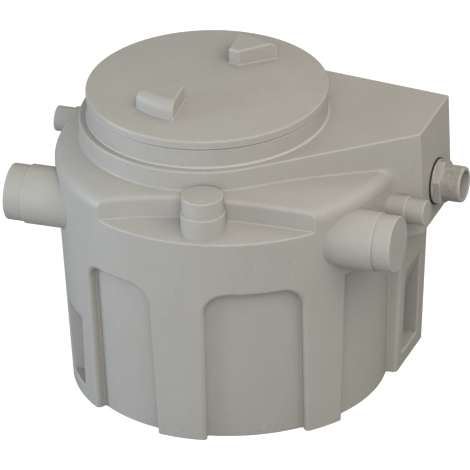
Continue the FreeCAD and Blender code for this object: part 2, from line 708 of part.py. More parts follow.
def ribs_softened(body):
    """Round the edges of the panels, outside and where they sink in, and of the foot."""
    top, under, floor_r = (number(name) for name in ("panel_top_z", "box_under_z", FLOOR_R))
    lean = size("draft") / size("rim_z")
    front = size("foot_front_y")
    seam, near = 0.1, 0.6

    def at_depth(edge, depth):
        points = along_edge(edge)
        if not NEAR < edge.BoundBox.ZMax < top + near or all(abs(p.y) < seam for p in points):
            return False
        return all(abs(floor_r + lean * p.z - math.hypot(p.x, p.y) - depth) < near for p in points)

    def ceiling_of_right(edge):
        return flat_at(edge, top) and edge.BoundBox.XMax > floor_r

    def foot_corner(edge):
        return runs_between(edge, 0, under) and all(abs(p.y - front) < seam for p in along_edge(edge))

    return rounded(
        "RibsSoftened",
        body,
        (size("rib_round"), lambda edge: at_depth(edge, 0) and not ceiling_of_right(edge)),
        (size("rib_round"), foot_corner),
        (size("panel_sink"), lambda edge: at_depth(edge, size("panel_depth"))),
    )


def pockets_softened(body):
    """Round the edges of the two pockets in the outside of the wall."""
    floor_r, foot_x, foot_top_x = (number(name) for name in (FLOOR_R, FOOT_X, FOOT_TOP_X))
    lean = size("draft") / size("rim_z")
    foot_lean = (foot_top_x - foot_x) / size("box_under_z")
    low, high = size("pocket_floor_z") - NEAR, size("pocket_right_top_z") + NEAR
    short, near = 15, 0.3

    def round_wall(point):
        return abs(floor_r + lean * point.z - math.hypot(point.x, point.y)) < near

    def foot_side(point):
        return abs(foot_x + foot_lean * point.z - point.x) < NEAR

    def rim_of_pocket(edge):
        box = edge.BoundBox
        if edge.Length < short or box.ZMin < low or box.ZMax > high:
            return False
        return all(map(round_wall if box.XMax < 0 else foot_side, along_edge(edge)))

    return rounded("PocketsSoftened", body, (size("pocket_round"), rim_of_pocket))


def tank_form(tag, inset, low, plan):
    """The tank as one solid: its outside, or with the wall as inset its inside."""
    run_on = 0.5
    body = barrel(tag, inset, low)
    sunk = "rim_z - recess_depth - (ring_foot_z - rim_z) * %g + lap" % run_on
    tall = "ring_top_z - (%s)" % sunk
    start = "%s - recess_width - %s" % (RIM_R, inset)
    bite = turned_block(tag + "Bite", start, "2 * " + RIM_R, tall, "recess_angle", sunk)
    ground = shoulder(tag + "RecessFloor", inset, "recess_depth", run_on)
    body = cut(tag + "Recessed", body, cut(tag + "Recess", bite, ground))
    box = raised(
        tag + "Box", plan, "box_under_z + " + inset, "ring_top_z - box_under_z - 2 * " + inset
    )
    foot = foot_block(tag, inset, low)
    body = joined(tag + "Body", body, box, foot)
    outside = inset == "0"
    body = softened(body) if outside else rim_rounded(tag, body, inset)
    body = cut(tag + "Ribbed", body, side_panels(tag, inset))
    if outside:
        body = ribs_softened(body)
    body = cut(tag + "Carved", body, pockets(tag, inset))
    if outside:
        body = pockets_softened(body)
    return joined(tag + "Form", body, *spigots(not outside))


def tank():
    plan = platform_plan()
    shrunk = doc.addObject("Part::Offset2D", "PlanInside")
    shrunk.Source = plan
    bind(shrunk, Value="-wall")
    outside = tank_form("Out", "0", "0", plan)
    inside = tank_form("In", "wall", "floor_wall", shrunk)
    mouth = cylinder("Mouth", MOUTH_R, "ring_top_z - ring_foot_z + past", "ring_x", z="ring_foot_z")
    bore = "nipple_r + nipple_gap"
    hole = cylinder("NippleHole", bore, "2 * past", BOX_X + " - past", "pipe_y", "pipe_z", ALONG_X)
    across = "(2 * (%s - panel_depth - 2 * wall))" % FLOOR_R
    sides = 12
    well = prism("FloorWell", sides, across, "2 * past", z="-past")
    finish("tank", cut("Tank", outside, joined("Inside", inside, mouth, hole, well)))
    finish("tank_floor", prism("TankFloor", sides, across, "floor_wall"))
    finish("tank_neck", ring("TankNeck", MOUTH_R, "neck_r", "ring_top_z", "neck_top_z", "ring_x"))


# The lid stands on a flat seal and its collar reaches down into the mouth.
LID_Z = "(neck_top_z + seal_tall)"
DOME_R = "(((neck_r + lid_over) ^ 2 + lid_rise ^ 2) / (2 * lid_rise))"
GRIP_Z = "(neck_top_z + seal_tall + lid_edge - grip_root)"
GRIP_TOP_Z = "(neck_top_z + seal_tall + lid_edge + grip_tall)"


def grip(tag, side, inset):
    """One grip of the lid, or its hollow, which keeps twice the wall at its rounded edge."""
    sign = "%d * " % side
    corners = [
        (sign + "grip_%s_x" % corner, sign + "grip_%s_y" % corner)
        for corner in ("inner", "bend", "tail", "toe")
    ]
    plan = doc.addObject("Sketcher::SketchObject", tag + "Plan")
    outline(plan, corners)
    if inset != "0":
        whole = plan
        plan = doc.addObject("Part::Offset2D", tag + "PlanInside")
        plan.Source = whole
        bind(plan, Value="-" + inset)
    post = raised(tag + "Post", plan, GRIP_Z, "grip_root + grip_tall - 2 * " + inset)
    post.setExpression("Placement.Base.x", linked("ring_x"))
    limit = cylinder(tag + "Limit", "grip_r - 2 * " + inset, GRIP_TOP_Z, "ring_x")
    return shared(tag, post, limit)


def soft_grip(tag, side):
    solid = grip(tag, side, "0")
    low = number(GRIP_Z) + NEAR
    reach = size("grip_r")
    middle_x = size("ring_x")

    def outer(edge):
        return all(abs(math.hypot(p.x - middle_x, p.y) - reach) < NEAR / 2 for p in along_edge(edge, 1))

    def top(edge):
        return edge.BoundBox.ZMin > low

    return rounded(
        tag + "Soft",
        solid,
        (size("grip_soft"), lambda edge: top(edge) and outer(edge)),
        (size("grip_round"), lambda edge: top(edge) and not outer(edge)),
    )


def lid():
    disc = shared(
        "LidDisc",
        cylinder("LidEdge", LID_R, "2 * past", "ring_x", z=LID_Z),
        sphere("LidDome", DOME_R, "ring_x", z="%s + lid_edge + lid_rise - %s" % (LID_Z, DOME_R)),
    )
    doc.recompute()
    base = number(LID_Z) + NEAR
    disc = rounded("LidRounded", disc, (size("lid_round"), lambda edge: edge.BoundBox.ZMin > base))
    low = LID_Z + " - lid_depth"
    collar = cylinder("LidCollar", MOUTH_R + " - lid_gap", "lid_depth + lap", "ring_x", z=low)
    hollow = shared(
        "LidHollow",
        cylinder(
            "CollarHollow",
            MOUTH_R + " - lid_gap - lid_wall",
            "lid_depth + lid_edge + 2 * past",
            "ring_x",
            z=low + " - past",
        ),
        sphere(
            "DomeHollow",
            "%s - lid_wall" % DOME_R,
            "ring_x",
            z="%s + lid_edge + lid_rise - %s" % (LID_Z, DOME_R),
        ),
    )
    solid = joined("LidSolid", disc, collar, soft_grip("GripFront", 1), soft_grip("GripBack", -1))
    doc.recompute()
    dome_r = number(DOME_R)
    centre = FreeCAD.Vector(size("ring_x"), 0, number(LID_Z + " + lid_edge + lid_rise") - dome_r)

    def grip_foot(edge):
        reach = number(LID_R) - 2 * size("lid_round")
        return all(
            abs((point - centre).Length - dome_r) < 0.1
            and math.hypot(point.x - centre.x, point.y) < reach
            for point in along_edge(edge, 5)
        )

    solid = rounded("LidGrips", solid, (size("grip_foot"), grip_foot))
    grips = [grip("GripFrontHollow", 1, "lid_wall"), grip("GripBackHollow", -1, "lid_wall")]
    inner = joined("LidInner", hollow, *grips)
    finish("lid", cut("Lid", solid, inner))
    finish(
        "lid_seal",
        ring(
            "LidSeal",
            "neck_r - seal_inset - seal_width",
            "neck_r - seal_inset",
            "neck_top_z",
            LID_Z,
            "ring_x",
        ),
    )


# The discharge runs along X through the end wall of the delivery box.
def along_pipe(name, points):
    return turned(name, points, y="pipe_y", z="pipe_z", turn=ALONG_X)


def nut(name, across, start, height, bore, base_r, base, turn):
    """A hexagon nut on the discharge with a round base on one side."""
    hexagon = prism(name + "Hexagon", 6, across, height, start, "pipe_y", "pipe_z", turn)
    corner = "(%s / 2 / cos(30) + seat_gap)" % across
    limit = along_pipe(
        name + "Limit",
        [
            ("0", start),
            (base_r, start),
            (base_r, "%s + %s" % (start, base)),
            (corner, "%s + %s" % (start, base)),
            (corner, "%s + %s - nut_bevel" % (start, height)),
            (corner + " - nut_bevel / tan(30)", "%s + %s" % (start, height)),
            ("0", "%s + %s" % (start, height)),
        ],
    )
    foot = cylinder(name + "Base", base_r, base, start, "pipe_y", "pipe_z", ALONG_X)
    solid = joined(name + "Solid", shared(name + "Flats", hexagon, limit), foot)
    return cut(name, solid, bore)


def discharge():
    inside = "(%s - wall - gasket_tall)" % BOX_X
    nut_end = BOX_X + " + gasket_tall + nut_tall + nipple_full"
    finish(
        "discharge_nipple",
        along_pipe(
            "Nipple",
            [
                ("nipple_bore_r", NIPPLE_START_X),
                ("nipple_r", NIPPLE_START_X),
                ("nipple_r", inside + " - clamp_tall"),
                ("clamp_r", inside + " - clamp_tall"),
                ("clamp_r", inside),
                ("nipple_r", inside),
                ("nipple_r", nut_end),
                ("nipple_r - nipple_step", nut_end),
                ("nipple_r - nipple_step", NIPPLE_END_X + " - nipple_bevel"),
                ("nipple_r - nipple_step - nipple_bevel", NIPPLE_END_X),
                ("nipple_bore_r", NIPPLE_END_X),
            ],
        ),
    )
    through = "nipple_r + seat_gap"
    box_skin = BOX_X + " - wall"
    gasket = [(through, inside), ("clamp_r", inside), ("clamp_r", box_skin), (through, box_skin)]
    finish("inner_gasket", along_pipe("InnerGasket", gasket))
    nut_x = "(%s + gasket_tall)" % BOX_X
    washer = [(through, BOX_X), ("washer_r", BOX_X), ("washer_r", nut_x), (through, nut_x)]
    finish("discharge_washer", along_pipe("Washer", washer))
    start = nut_x + " - lap"
    bore = cylinder("NutBore", through, "nut_tall + 2 * lap", start, "pipe_y", "pipe_z", ALONG_X)
    turn = FreeCAD.Rotation(FreeCAD.Vector(1, 0, 0), size("nut_turn")) * ALONG_X
    finish(
        "discharge_nut", nut("Nut", "nut_across", nut_x, "nut_tall", bore, "nut_base_r", "nut_base", turn)
    )
    lip = "(%s - union_lip)" % NIPPLE_START_X
    start = lip + " - union_lip - lap"
    bore = joined(
        "UnionBore",
        cylinder("UnionWide", "flange_r + seat_gap", "union_tall", lip, "pipe_y", "pipe_z", ALONG_X),
        cylinder("UnionLip", "fitting_r + seat_gap", "union_tall", start, "pipe_y", "pipe_z", ALONG_X),
    )
    finish(
        "union_nut",
        nut(
            "Union",
            "union_across",
            lip + " - union_lip",
            "union_tall",
            bore,
            "union_across / 2",
            "union_base",
            ALONG_X,
        ),
    )


# Riser: from the outlet of the pump up through the check valve to the discharge.
VALVE_BALL_Z = "(valve_z + valve_sill + sqrt(ball_r ^ 2 - pipe_bore_r ^ 2) + ball_rest)"
BRANCH = FreeCAD.Rotation(FreeCAD.Vector(0, 1, 0), -45)


def riser_piece(name, radius, low, high):
    return cylinder(name, radius, "%s - (%s)" % (high, low), "riser_x", "pipe_y", low)


def level_piece(name, radius, start, end, z):
    return cylinder(name, radius, "%s - (%s)" % (end, start), start, "pipe_y", z, ALONG_X)


def quarter(name, radius, x, z, turn):
    bend = doc.addObject("Part::Torus", name)
    bend.Angle3 = 90
    bind(bend, Radius1="bend_r", Radius2=radius)
    place(bend, x, "pipe_y", z, turn)
    return bend


def elbows():
    down, out, side = FreeCAD.Vector(0, 0, -1), FreeCAD.Vector(1, 0, 0), FreeCAD.Vector(0, -1, 0)
    low_turn = FreeCAD.Rotation(down, out, side, "XYZ")
    x = "riser_x - bend_r"
    top = "(outlet_z + bend_r)"
    start = "(outlet_x - socket_depth)"
    solid = joined(
        "LowElbowSolid",
        quarter("LowBend", "fitting_r", x, top, low_turn),
        level_piece("LowArm", "fitting_r", "outlet_x", x, "outlet_z"),
        level_piece("LowSocket", "socket_r", start, "outlet_x + socket_lap", "outlet_z"),
        riser_piece("LowCollar", "socket_r", top + " - socket_lap", top + " + socket_depth"),
    )
    hollow = joined(
        "LowElbowHollow",
        quarter("LowBendBore", "pipe_bore_r", x, top, low_turn),
        level_piece("LowArmBore", "pipe_bore_r", "outlet_x - lap", x, "outlet_z"),
        level_piece("LowSocketBore", "fitting_r + seat_gap", start + " - lap", "outlet_x", "outlet_z"),
        riser_piece("LowCollarBore", "pipe_r + seat_gap", top, top + " + socket_depth + lap"),
    )
    finish("outlet_elbow", cut("LowElbow", solid, hollow))
    top_turn = FreeCAD.Rotation(out * -1, down * -1, side * -1, "XYZ")
    x = "riser_x + bend_r"
    low = "(pipe_z - bend_r)"
    solid = joined(
        "TopElbowSolid",
        quarter("TopBend", "fitting_r", x, low, top_turn),
        level_piece("TopArm", "fitting_r", x, NIPPLE_START_X, "pipe_z"),
        level_piece("TopFlange", "flange_r", NIPPLE_START_X + " - union_lip", NIPPLE_START_X, "pipe_z"),
        riser_piece("TopCollar", "socket_r", low + " - socket_depth", low + " + socket_lap"),
    )
    hollow = joined(
        "TopElbowHollow",
        quarter("TopBendBore", "pipe_bore_r", x, low, top_turn),
        level_piece("TopArmBore", "pipe_bore_r", x, NIPPLE_START_X + " + lap", "pipe_z"),
        riser_piece("TopCollarBore", "pipe_r + seat_gap", low + " - socket_depth - lap", low),
    )
    finish("top_elbow", cut("TopElbow", solid, hollow))


def riser():
    for name, tag, low, high in (
        ("riser_low", "RiserLow", "outlet_z + bend_r", "valve_z"),
        ("riser_top", "RiserTop", "valve_z + valve_tall", "pipe_z - bend_r"),
    ):
        pipe = riser_piece(tag + "Outside", "pipe_r", low, high)
        bore = riser_piece(tag + "Bore", "pipe_bore_r", low + " - lap", high + " + lap")
        finish(name, cut(tag, pipe, bore))


def on_branch(name, radius, start, end):
    """A cylinder on the slanting branch, by its distances from the resting ball."""
    lift = "(%s) * cos(45)" % start
    return cylinder(
        name,
        radius,
        "%s - (%s)" % (end, start),
        "riser_x - " + lift,
        "pipe_y",
        "%s + %s" % (VALVE_BALL_Z, lift),
        BRANCH,
    )


def check_valve():
    low = "valve_z - socket_depth"
    high = "valve_z + valve_tall"
    solid = joined(
        "ValveSolid",
        riser_piece("ValveTrunk", "socket_r", low, high + " + socket_depth"),
        on_branch("ValveBranch", "socket_r", "0", "valve_branch"),
        on_branch("ValveFlange", "valve_flange_r", "valve_branch - valve_flange", "valve_branch"),
    )
    room = "ball_r + ball_gap"
    hollow = joined(
        "ValveHollow",
        riser_piece("ValveBore", "pipe_bore_r", "valve_z - lap", high + " + lap"),
        riser_piece("ValveLowSocket", "pipe_r + seat_gap", low + " - lap", "valve_z"),
        riser_piece("ValveTopSocket", "pipe_r + seat_gap", high, high + " + socket_depth + lap"),
        riser_piece("ValveRoom", room, "valve_z + valve_sill", "%s + %s" % (VALVE_BALL_Z, room)),
        on_branch("ValveBranchBore", room, "0", "valve_branch + lap"),
    )
    finish("check_valve", cut("Valve", solid, hollow))
    finish(
        "check_cap",
        joined(
            "ValveCap",
            on_branch("CapDisc", "valve_flange_r", "valve_branch", "valve_branch + valve_cap"),
            on_branch("CapPlug", room + " - seat_gap", "valve_branch - valve_plug", "valve_branch + lap"),
        ),
    )
    finish("check_ball", sphere("Ball", "ball_r", "riser_x", "pipe_y", VALVE_BALL_Z))


# Pump: upright on the tank floor, intake below and motor above.
PUMP_Y = "(pipe_y + fitting_r + volute_edge - volute_r)"
PUMP_Z = "(floor_wall + strainer_tall)"
PLATE_Z = "(floor_wall + strainer_tall + volute_tall)"
MOTOR_Z = "(floor_wall + strainer_tall + volute_tall + plate_tall)"
CAP_Z = "(floor_wall + strainer_tall + volute_tall + plate_tall + motor_tall)"


def on_pump(name, points):
    return turned(name, points, "pump_x", PUMP_Y)


def pump_piece(name, radius, low, high):
    return cylinder(name, radius, "%s - (%s)" % (high, low), "pump_x", PUMP_Y, low)


def strainer():
    slots = []
    count = 6
    for step in range(count):
        turn = FreeCAD.Rotation(FreeCAD.Vector(0, 0, 1), 180 / count * step)
        across = turn.multVec(FreeCAD.Vector(0, 1, 0))
        along = turn.multVec(FreeCAD.Vector(1, 0, 0))
        slots.append(
            block(
                "Slot%d" % step,
                "2 * (strainer_r + past)",
                "slot_wide",
                "slot_tall",
                "pump_x - (%g) * (strainer_r + past) - (%g) * slot_wide / 2" % (along.x, across.x),
                PUMP_Y + " - (%g) * (strainer_r + past) - (%g) * slot_wide / 2" % (along.y, across.y),
                "floor_wall + slot_rise",
                turn,
            )
        )
    shell = on_pump(
        "StrainerShell",
        [
            ("strainer_r - strainer_wall", "floor_wall"),
            ("strainer_r", "floor_wall"),
            ("strainer_r", PUMP_Z),
            ("intake_r", PUMP_Z),
            ("intake_r", PUMP_Z + " - strainer_wall"),
            ("strainer_r - strainer_wall", PUMP_Z + " - strainer_wall"),
        ],
    )
    finish("strainer", cut("Strainer", shell, joined("Slots", *slots)))


def volute():
    casing = pump_piece("VoluteSolid", "volute_r", PUMP_Z, PLATE_Z)
    reach = "outlet_x - pump_x"
    stub = cylinder("VoluteStub", "fitting_r", reach, "pump_x", "pipe_y", "outlet_z", ALONG_X)
    chamber = pump_piece("Chamber", "chamber_r", PUMP_Z + " + volute_floor", PLATE_Z + " + lap")
    intake = pump_piece("Intake", "intake_r", PUMP_Z + " - lap", PLATE_Z)
    bore = cylinder("StubBore", "pipe_bore_r", reach + " + lap", "pump_x", "pipe_y", "outlet_z", ALONG_X)
    solid = joined("VoluteBody", casing, stub)
    finish("volute", cut("Volute", solid, joined("VoluteHollow", chamber, intake, bore)))


def impeller():
    top = "(vane_tall + vane_thick)"
    body = turned(
        "Impeller",
        [
            ("shaft_r + seat_gap", "0"),
            ("hub_r", "0"),
            ("hub_r", "vane_tall"),
            ("impeller_r", "vane_tall"),
            ("impeller_r", top),
            ("hub_r", top),
            ("hub_r", "hub_tall"),
            ("shaft_r + seat_gap", "hub_tall"),
        ],
        "pump_x",
        PUMP_Y,
        "impeller_z",
    )
    vane = drawn(
        body,
        "VaneOutline",
        "XY_Plane",
        [
            ("hub_r - 2 * lap", "-vane_start"),
            ("vane_reach", "vane_sweep"),
            ("vane_reach", "vane_sweep + vane_thick"),
            ("hub_r - 2 * lap", "vane_thick - vane_start"),
        ],
    )
    pad = body.newObject("PartDesign::Pad", "Vane")
    pad.Profile = vane
    bind(pad, Length="vane_tall + vane_thick / 2")
    doc.recompute()
    vanes = body.newObject("PartDesign::PolarPattern", "Vanes")
    vanes.Originals = [pad]
    vanes.Axis = (vane, ["N_Axis"])
    vanes.Angle = 360
    vanes.Occurrences = 6
    body.Tip = vanes
    finish("impeller", body)


def motor():
    collar = "(%s + collar_tall)" % MOTOR_Z
    shaft_top = "(%s - boss_tall + bearing_depth - shaft_room)" % CAP_Z
    finish("bearing_plate", on_pump(
        "BearingPlate",
        [
            ("journal_r + running_gap", PLATE_Z),
            ("volute_r", PLATE_Z),
            ("volute_r", MOTOR_Z),
            ("journal_r + running_gap", MOTOR_Z),
        ],
    ))
    step = "(impeller_z + hub_tall)"
    finish("pump_shaft", on_pump(
        "Shaft",
        [
            ("0", "impeller_z + shaft_start"),
            ("shaft_r", "impeller_z + shaft_start"),
            ("shaft_r", step),
            ("journal_r", step),
            ("journal_r", MOTOR_Z),
            ("collar_r", MOTOR_Z),
            ("collar_r", collar),
            ("shaft_r", collar),
            ("shaft_r", shaft_top),
            ("0", shaft_top),
        ],
    ))
    ledge = "(%s + ledge_rise)" % MOTOR_Z
    inner = "motor_r - motor_wall"
    shelf = "rotor_r + air_gap + ledge_under"
    finish("motor_housing", on_pump(
        "Housing",
        [
            (inner, MOTOR_Z),
            ("motor_r", MOTOR_Z),
            ("motor_r", CAP_Z),
            (inner, CAP_Z),
            (inner, ledge + " + ledge"),
            (shelf, ledge + " + ledge"),
            (shelf, ledge),
            (inner, ledge),
        ],
    ))
    finish("stator", on_pump(
        "Stator",
        [
            ("rotor_r + air_gap", ledge + " + ledge"),
            (inner + " - seat_gap", ledge + " + ledge"),
            (inner + " - seat_gap", ledge + " + ledge + stator_tall"),
            ("rotor_r + air_gap", ledge + " + ledge + stator_tall"),
        ],
    ))
    finish("rotor", on_pump(
        "Rotor",
        [
            ("shaft_r + seat_gap", collar),
            ("rotor_r", collar),
            ("rotor_r", collar + " + rotor_tall"),
            ("shaft_r + seat_gap", collar + " + rotor_tall"),
        ],
    ))
    finish("motor_cap", on_pump(
        "MotorCap",
        [
            ("0", CAP_Z + " + cap_tall"),
            ("0", CAP_Z + " - boss_tall + bearing_depth"),
            ("shaft_r + running_gap", CAP_Z + " - boss_tall + bearing_depth"),
            ("shaft_r + running_gap", CAP_Z + " - boss_tall"),
            ("collar_r", CAP_Z + " - boss_tall"),
            ("collar_r", CAP_Z),
            ("motor_r", CAP_Z),
            ("motor_r", CAP_Z + " + cap_rim"),
            ("motor_r - cap_slope", CAP_Z + " + cap_tall"),
        ],
    ))


def pump_fittings():
    top = CAP_Z + " + cap_tall"
    handle = doc.addObject("Part::Torus", "Handle")
    handle.Angle3 = 180
    bind(handle, Radius1="handle_r", Radius2="handle_rod")
    place(handle, "pump_x", PUMP_Y, top, TIPPED)
    finish("pump_handle", handle)
    finish("pump_gland", turned(
        "Gland",
        [
            ("gland_bore_r", "0"),
            ("gland_r", "0"),
            ("gland_r", "gland_body"),
            ("gland_neck_r", "gland_body + gland_taper"),
            ("gland_neck_r", "gland_body + gland_taper + gland_neck"),
            ("gland_bore_r", "gland_body + gland_taper + gland_neck"),
        ],
        "pump_x",
        PUMP_Y + " - gland_y",
        top,
    ))


# The float rides on an arm that swings on a bracket round the motor housing.
PIVOT_X = "(pump_x - motor_r - pivot_reach)"
PIVOT_Z = "(band_z + band_tall / 2)"


def float_switch():
    band = ring(
        "Band",
        "motor_r + seat_gap",
        "motor_r + seat_gap + band_thick",
        "band_z",
        "band_z + band_tall",
        "pump_x",
        PUMP_Y,
    )
    half = "(knuckle_wide / 2 + knuckle_gap)"
    start = "pump_x - motor_r - lug_reach"
    lugs = [
        block("Lug" + tag, "lug_reach - lap", "lug_thick", "band_tall", start, y, "band_z")
        for tag, y in (("Near", PUMP_Y + " - %s - lug_thick" % half), ("Far", PUMP_Y + " + " + half))
    ]
    long = "(2 * (%s + lug_thick))" % half
    near = PUMP_Y + " - %s / 2 - lap" % long
    eye = cylinder("LugEye", "pin_r + running_gap", long + " + 2 * lap", PIVOT_X, near, PIVOT_Z, ALONG_Y)
    finish("float_bracket", cut("Bracket", joined("BracketSolid", band, *lugs), eye))
    slope = math.radians(size("float_angle"))
    turn = FreeCAD.Rotation(FreeCAD.Vector(0, 0, 1), FreeCAD.Vector(-math.cos(slope), 0, -math.sin(slope)))
    seat = "(float_reach - float_r + float_flat)"
    rod = turned(
        "FloatRod",
        [
            ("0", "knuckle_r - lap"),
            ("pin_r", "knuckle_r - lap"),
            ("pin_r", seat + " - stop_tall"),
            ("stop_r", seat + " - stop_tall"),
            ("stop_r", seat),
            ("pin_r", seat),
            ("pin_r", seat + " + rod_depth"),
            ("0", seat + " + rod_depth"),
        ],
        PIVOT_X,
        PUMP_Y,
        PIVOT_Z,
        turn,
    )
    knuckle = cylinder(
        "Knuckle", "knuckle_r", "knuckle_wide", PIVOT_X, PUMP_Y + " - knuckle_wide / 2", PIVOT_Z, ALONG_Y
    )
    pin = cylinder("FloatPin", "pin_r", long, PIVOT_X, PUMP_Y + " - %s / 2" % long, PIVOT_Z, ALONG_Y)
    finish("float_arm", joined("FloatArm", rod, knuckle, pin))
    ball = sphere(
        "FloatBall",
        "float_r",
        PIVOT_X + " - float_reach * cos(float_angle)",
        PUMP_Y,
        PIVOT_Z + " - float_reach * sin(float_angle)",
    )
    socket = turned(
        "FloatSocket",
        [
            ("0", "0"),
            ("float_r", "0"),
            ("float_r", seat),
            ("pin_r + seat_gap", seat),
            ("pin_r + seat_gap", seat + " + rod_depth"),
            ("0", seat + " + rod_depth"),
        ],
        PIVOT_X,
        PUMP_Y,
        PIVOT_Z,
        turn,
    )
    finish("float_ball", cut("Float", ball, socket))


def written():
    """Check every object, then write each piece to its own file."""
    doc.removeObject("Working")
    doc.recompute()
    failed = [thing.Name for thing in doc.Objects if {"Invalid", "Error"} & set(thing.State)]
    failed += [name for name, thing in NODES if thing.Shape.isNull() or not thing.Shape.isValid()]
    if failed:
        raise RuntimeError("not built: " + ", ".join(failed))
    os.makedirs("parts", exist_ok=True)
    for name, thing in NODES:
        thing.Shape.exportStep("parts/%s.step" % name)
        print("%-18s %3d faces %9.1f cm3" % (name, len(thing.Shape.Faces), thing.Shape.Volume / 1000))


tank()
lid()
discharge()
elbows()
riser()
check_valve()
strainer()
volute()
impeller()
motor()
pump_fittings()
float_switch()
written()
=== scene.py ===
import math

import bpy
import numpy as np
from mathutils import Matrix, Vector


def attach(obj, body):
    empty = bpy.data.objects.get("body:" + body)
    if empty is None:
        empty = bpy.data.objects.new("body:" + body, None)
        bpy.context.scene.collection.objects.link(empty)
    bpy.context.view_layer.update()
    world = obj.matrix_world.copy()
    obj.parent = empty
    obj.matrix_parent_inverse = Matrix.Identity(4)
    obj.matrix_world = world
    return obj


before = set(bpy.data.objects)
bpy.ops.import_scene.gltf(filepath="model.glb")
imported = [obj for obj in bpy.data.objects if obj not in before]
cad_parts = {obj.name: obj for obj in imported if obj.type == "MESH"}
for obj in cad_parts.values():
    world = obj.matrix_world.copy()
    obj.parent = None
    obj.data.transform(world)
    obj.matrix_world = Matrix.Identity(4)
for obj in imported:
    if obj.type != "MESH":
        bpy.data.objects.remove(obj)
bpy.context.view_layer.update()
print("frame loaded:", len(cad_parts), "nodes")

scene = bpy.context.scene
scene.view_settings.view_transform = "Standard"
scene.view_settings.look = "None"


# helpers for meshes

def addMesh(name, points, faces, smooth=True):
    # a mesh object from one array of points and one of faces
    mesh = bpy.data.meshes.new(name)
    mesh.from_pydata(points.tolist(), [], faces.tolist())
    mesh.polygons.foreach_set("use_smooth", np.full(len(mesh.polygons), smooth))
    mesh.update()
    piece = bpy.data.objects.new(name, mesh)
    scene.collection.objects.link(piece)
    return piece


def gridFaces(rows, columns, closedRows=False, closedColumns=False):
    # quads between neighbouring points of a grid whose points are listed row after row
    r = np.arange(rows if closedRows else rows - 1)
    c = np.arange(columns if closedColumns else columns - 1)
    i, j = np.meshgrid(r, c, indexing="ij")
    i2, j2 = (i + 1) % rows, (j + 1) % columns
    corners = [i * columns + j, i * columns + j2, i2 * columns + j2, i2 * columns + j]
    return np.stack(corners, -1).reshape(-1, 4)


# helpers for materials

def nodeTree(name):
    material = bpy.data.materials.new(name)
    material.use_nodes = True
    tree = material.node_tree
    return material, tree, tree.nodes["Principled BSDF"]


def link(tree, source, target):
    tree.links.new(source, target)


def objectCoords(tree):
    return tree.nodes.new("ShaderNodeTexCoord").outputs["Object"]


def noise(tree, coords, scale, detail=2.0, rough=0.5, stretch=(1, 1, 1)):
    # cloudy values about 0.5; a stretch under 1 draws the clouds out along that axis
    mapping = tree.nodes.new("ShaderNodeMapping")
    mapping.inputs["Scale"].default_value = stretch
    link(tree, coords, mapping.inputs["Vector"])
    texture = tree.nodes.new("ShaderNodeTexNoise")
    texture.inputs["Scale"].default_value = scale
    texture.inputs["Detail"].default_value = detail
    texture.inputs["Roughness"].default_value = rough
    link(tree, mapping.outputs["Vector"], texture.inputs["Vector"])
    return texture.outputs["Fac"]


def spread(tree, value, low, high, fromLow=0.3, fromHigh=0.7):
    # fromLow..fromHigh becomes low..high, and what lies beyond keeps the nearer end
    node = tree.nodes.new("ShaderNodeMapRange")
    node.inputs["From Min"].default_value = fromLow
    node.inputs["From Max"].default_value = fromHigh
    node.inputs["To Min"].default_value = low
    node.inputs["To Max"].default_value = high
    link(tree, value, node.inputs["Value"])
    return node.outputs["Result"]


def blendColours(tree, amount, first, second):
    # a mix node has one set of sockets per data type: colours come in at 6 and 7 and leave at 2
    node = tree.nodes.new("ShaderNodeMix")
    node.data_type = "RGBA"
    link(tree, amount, node.inputs["Factor"])
    for at, colour in ((6, first), (7, second)):
        if isinstance(colour, tuple):
            node.inputs[at].default_value = (*colour, 1)
        else:
            link(tree, colour, node.inputs[at])
    return node.outputs[2]


def bump(tree, height, distance, normal=None):
    node = tree.nodes.new("ShaderNodeBump")
    node.inputs["Distance"].default_value = distance
    node.inputs["Strength"].default_value = 1.0
    link(tree, height, node.inputs["Height"])
    if normal is not None:
        link(tree, normal, node.inputs["Normal"])
    return node.outputs["Normal"]


def nearness(tree, distance, inside, samples):
    # 1 on open faces, less where a face of the same piece is near, below the skin or above it
    node = tree.nodes.new("ShaderNodeAmbientOcclusion")
    node.inside = inside
    node.only_local = True
    node.samples = samples
    node.inputs["Distance"].default_value = distance
    return node.outputs["AO"]


# plastic of the tank and the lid, from which the other plastics are varied
# in each Span, an effect goes from full to nothing, or for the fleck the other way, between the two values
greyPlastic = {
    "dark": (0.335, 0.322, 0.300), "light": (0.365, 0.352, 0.328),
    "mottle": 5.0, "mottleStretch": (1, 1, 0.5),
    "fleck": 90.0, "fleckTone": (0.42, 0.41, 0.39), "fleckAmount": 0.25, "fleckSpan": (0.55, 0.75),
    "smoothest": 0.38, "roughest": 0.52, "rubScale": 2.3, "rubStretch": (1, 1, 0.35), "gloss": 0.4,
    "edge": 0.0025, "edgeSamples": 4, "nearSamples": 6,
    # painted light: the edge entries below set pale painted highlights on outer edges and at sharp joints,
    # and the shade entries set dark painted shade in inner corners
    "highlightWidth": 0.0038, "rimTone": (0.50, 0.485, 0.455), "rimAmount": 0.45, "highlightSpan": (0.65, 0.96),
    "highlightStart": 0.010, "highlightFade": 0.004,
    "seamAmount": 0.45, "jointHighlightSpan": (0.9, 0.995),
    "shadeWidth": 0.008, "shadeTone": (0.17, 0.165, 0.155), "shadeAmount": 0.28, "shadeSpan": (0.5, 0.88),
    "wave": 14.0, "waveDepth": 0.0012, "grain": 900.0, "grainDepth": 0.00012,
}


